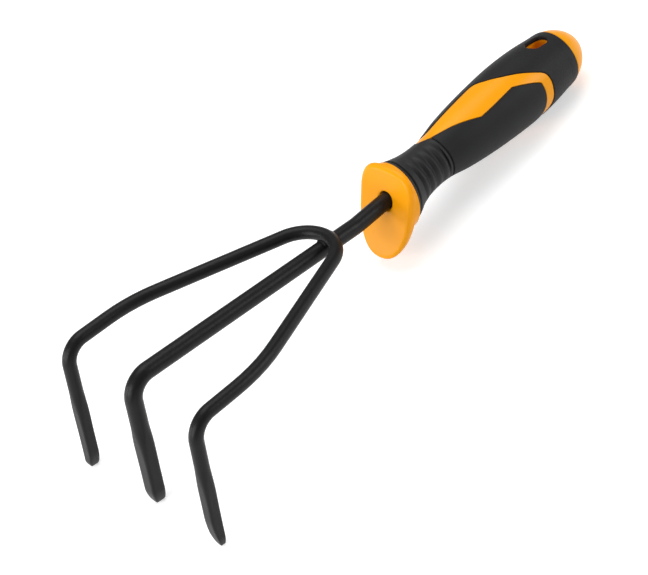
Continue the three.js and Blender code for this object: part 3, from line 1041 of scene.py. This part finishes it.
grip_edge = 0.45
rib_count = 4
rib_pitch = 5.2
first_rib_at = 16.4
rib_height = 0.85
rib_sides = [(-67, 64), (105, 58)]  # middle of each ribbed side, and how far the ribs reach from it
lip_groove_from_seam = 2.3
lip_groove_depth = 1.1
lip_groove_width = 0.5
groove_floor = 0.8
neck_rows = 110
neck_back_rows = 16
neck_step = 0.45
ribbon_tip_angle = ribbon_front[0][0]
rib_fade_curve = 1.2
speckle_from = 84
speckle_fade = 22


def soft_grip(name, grain, gloss):
    """Matt black rubber with a fine grain, speckled towards the butt where it is spark-finished."""
    material, start = new_material(name)
    where = start.node("ShaderNodeTexCoord", output=3)
    fine = start.node("ShaderNodeTexNoise", sockets={"Vector": where, "Scale": 2600, "Detail": 3})
    broad = start.node("ShaderNodeTexNoise", sockets={"Vector": where, "Scale": 60, "Detail": 4})
    offset = start.node("ShaderNodeVectorMath", {"operation": "SUBTRACT"}, {0: where, 1: guard_point})
    along = start.node(
        "ShaderNodeVectorMath", {"operation": "DOT_PRODUCT"}, {0: offset, 1: handle_axis}, output=1
    )
    near_butt = start.node(
        "ShaderNodeMapRange",
        sockets={
            "Value": along,
            "From Min": speckle_from * mm,
            "From Max": (speckle_from + speckle_fade) * mm,
        },
    )
    cells = start.node("ShaderNodeTexVoronoi", sockets={"Vector": where, "Scale": 950})
    speckle = (1 - cells) * near_butt
    bump = start.node(
        "ShaderNodeBump",
        sockets={"Height": fine + speckle * 3, "Strength": grain, "Distance": 0.00008},
    )
    dark = (0.0125, 0.0127, 0.0135, 1)
    light = (0.0185, 0.0188, 0.0198, 1)
    tone = start.node(
        "ShaderNodeMix",
        {"data_type": "RGBA"},
        {0: broad * 0.6 + fine * 0.2 + speckle * 0.6, 6: dark, 7: light},
        output=2,
    )
    rubber = start.node(
        "ShaderNodeBsdfPrincipled",
        sockets={
            "Base Color": tone,
            "Roughness": 0.48 + fine * 0.12,
            "IOR": 1.45,
            "Specular IOR Level": gloss,
            "Normal": bump,
        },
    )
    start.node("ShaderNodeOutputMaterial", sockets={"Surface": rubber})
    return material


black_rubber = soft_grip("black_soft_grip", grain=0.35, gloss=0.2)
neck_rubber = soft_grip("handled_soft_grip", grain=0.2, gloss=0.35)  # polished by the thumb


def rib_at(x, angle):
    """Height of the ribs. They fade out over the top and the underside of the neck."""
    place = (x - first_rib_at) / rib_pitch
    if place < -0.5 or place > rib_count - 0.5:
        return 0
    fade = 0
    for middle, half in rib_sides:
        off = abs(turn_between(middle, angle)) / half
        if off < 1:
            fade = math.cos(math.pi / 2 * off) ** rib_fade_curve
    return rib_height * math.cos(2 * math.pi * place) * fade


def groove_line(begin, finish, x, step=0.6):
    """A line round the handle at one place along it."""
    count = math.ceil(abs(math.radians(finish - begin)) * grip_radius(x) / step)
    return [(begin + (finish - begin) * k / count, x) for k in range(count + 1)]


neck_end = groove_at - groove_width / 2
ribbon_side = [(angle, min(x, neck_end)) for angle, x in moved_line(front_line, -gap / 2, False)]
crossing = next(i for i, (angle, x) in enumerate(ribbon_side) if angle < 20 and x >= neck_end)
neck_rear = ribbon_side[: crossing + 1]
neck_rear += groove_line(ribbon_side[crossing][0], ribbon_tip_angle - 360, neck_end)[1:-1]
neck_rear = eased(evenly(neck_rear, neck_step, closed=True), 3, closed=True)
neck_front = []
for angle, _ in neck_rear:
    neck_front.append((angle, seam_place(math.radians(angle))[0] + gap / 2))

neck_front_rim = rounded_rim(neck_front, grip_edge, grip_thickness, 1, closed=True)
neck_rear_rim = rounded_rim(neck_rear, grip_edge, groove_floor, -1, closed=True)
neck_lines = neck_front_rim[:]
for step in range(1, neck_rows):
    neck_lines.append((between_lines(neck_front_rim[-1][0], neck_rear_rim[-1][0], step / neck_rows), 0))
neck_lines += neck_rear_rim[::-1]
# the neck's rubber goes on as the floor of the groove, nearly as far as the grips
tongue_reach = groove_width - 0.06
tongue = []
for angle, x in neck_rear:
    at_groove = x > neck_end - 0.03
    tongue.append((angle, x + (tongue_reach if at_groove else 0)))
neck_lines.append((tongue, groove_floor))
neck_lines.append((tongue, grip_thickness))
for step in range(1, neck_back_rows):
    neck_lines.append((between_lines(tongue, neck_front, step / neck_back_rows), grip_thickness))
neck_lines.append(neck_lines[0])


def neck_place(column, row):
    line, depth = neck_lines[row]
    angle, x = line[column]
    if depth >= grip_thickness:
        return on_grip((angle, x), depth)
    from_groove = (x - neck_front[column][1] - lip_groove_from_seam) / lip_groove_width
    cut = lip_groove_depth * math.exp(-from_groove * from_groove)
    return on_grip((angle, x), depth, rib_at(x, angle) - cut)


neck = wrapped_sheet(len(neck_rear), len(neck_lines) - 1, neck_place)
ribbed_neck = new_piece("ribbed_neck", neck, handle_place, neck_rubber, sharp=math.radians(60))
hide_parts("neck_sleeve")


# ---- side pad ---------------------------------------------------------------------------------
# The pad inside the ribbon on the near side, of the same rubber, standing a little proud of the
# ribbon and rounded along its rim.

pad_rows = 44
pad_back_rows = 16
pad_step = 0.7
pad_centre = (-92, 66)
pad_start = groove_at + groove_width / 2

pad_side = [
    (angle, x) for angle, x in moved_line(front_line, -gap / 2, False) if angle < 12 and x > pad_start
]
pad_edge = pad_side + groove_line(pad_side[-1][0], pad_side[0][0], pad_start)
pad_edge = eased(evenly(pad_edge, pad_step, closed=True), 2, closed=True)
pad_middle = [pad_centre] * len(pad_edge)
pad_rim = rounded_rim(pad_edge, grip_edge, grip_thickness, -1, closed=True)
pad_lines = []
for step in range(pad_rows):
    pad_lines.append((between_lines(pad_middle, pad_rim[-1][0], step / pad_rows), 0))
pad_lines += pad_rim[::-1]
for step in range(1, pad_back_rows + 1):
    pad_lines.append((between_lines(pad_edge, pad_middle, step / pad_back_rows), grip_thickness))


def pad_place(column, row):
    line, depth = pad_lines[row]
    return on_grip(line[column], depth)


pad = wrapped_sheet(len(pad_edge), len(pad_lines) - 1, pad_place)
side_pad = new_piece("side_pad_grip", pad, handle_place, black_rubber, sharp=math.radians(60))
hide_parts("side_pad")


# ---- crown grip -------------------------------------------------------------------------------
# The rubber over the top, the far side and right round the butt end, with the hang slot through it.
# The maker's raised name is left off.

crown_rows = 60
crown_back_rows = 32
crown_step = 0.7
crown_side = [(angle, x) for angle, x in moved_line(rear_line, gap / 2, False) if x > pad_start + 0.05]
crown_front = crown_side + groove_line(crown_side[-1][0], crown_side[0][0] - 360, pad_start)[1:-1]
crown_front = eased(evenly(crown_front, crown_step, closed=True), 2, closed=True)
crown_rear = [(angle, cap_seam_at - gap / 2) for angle, _ in crown_front]
crown_front_rim = rounded_rim(crown_front, grip_edge, grip_thickness, 1, closed=True)
crown_rear_rim = rounded_rim(crown_rear, grip_edge, grip_thickness, -1, closed=True)
crown_lines = crown_front_rim[:]
for step in range(1, crown_rows):
    crown_lines.append((between_lines(crown_front_rim[-1][0], crown_rear_rim[-1][0], step / crown_rows), 0))
crown_lines += crown_rear_rim[::-1]
for step in range(1, crown_back_rows + 1):
    crown_lines.append((between_lines(crown_rear, crown_front, step / crown_back_rows), grip_thickness))


def crown_place(column, row):
    line, depth = crown_lines[row]
    return on_grip(line[column], depth)


crown = wrapped_sheet(len(crown_front), len(crown_lines) - 1, crown_place)
crown_grip = new_piece("crown_grip_skin", crown, handle_place, black_rubber)
punch_out(crown_grip, slot_punch())
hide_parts("crown_grip")
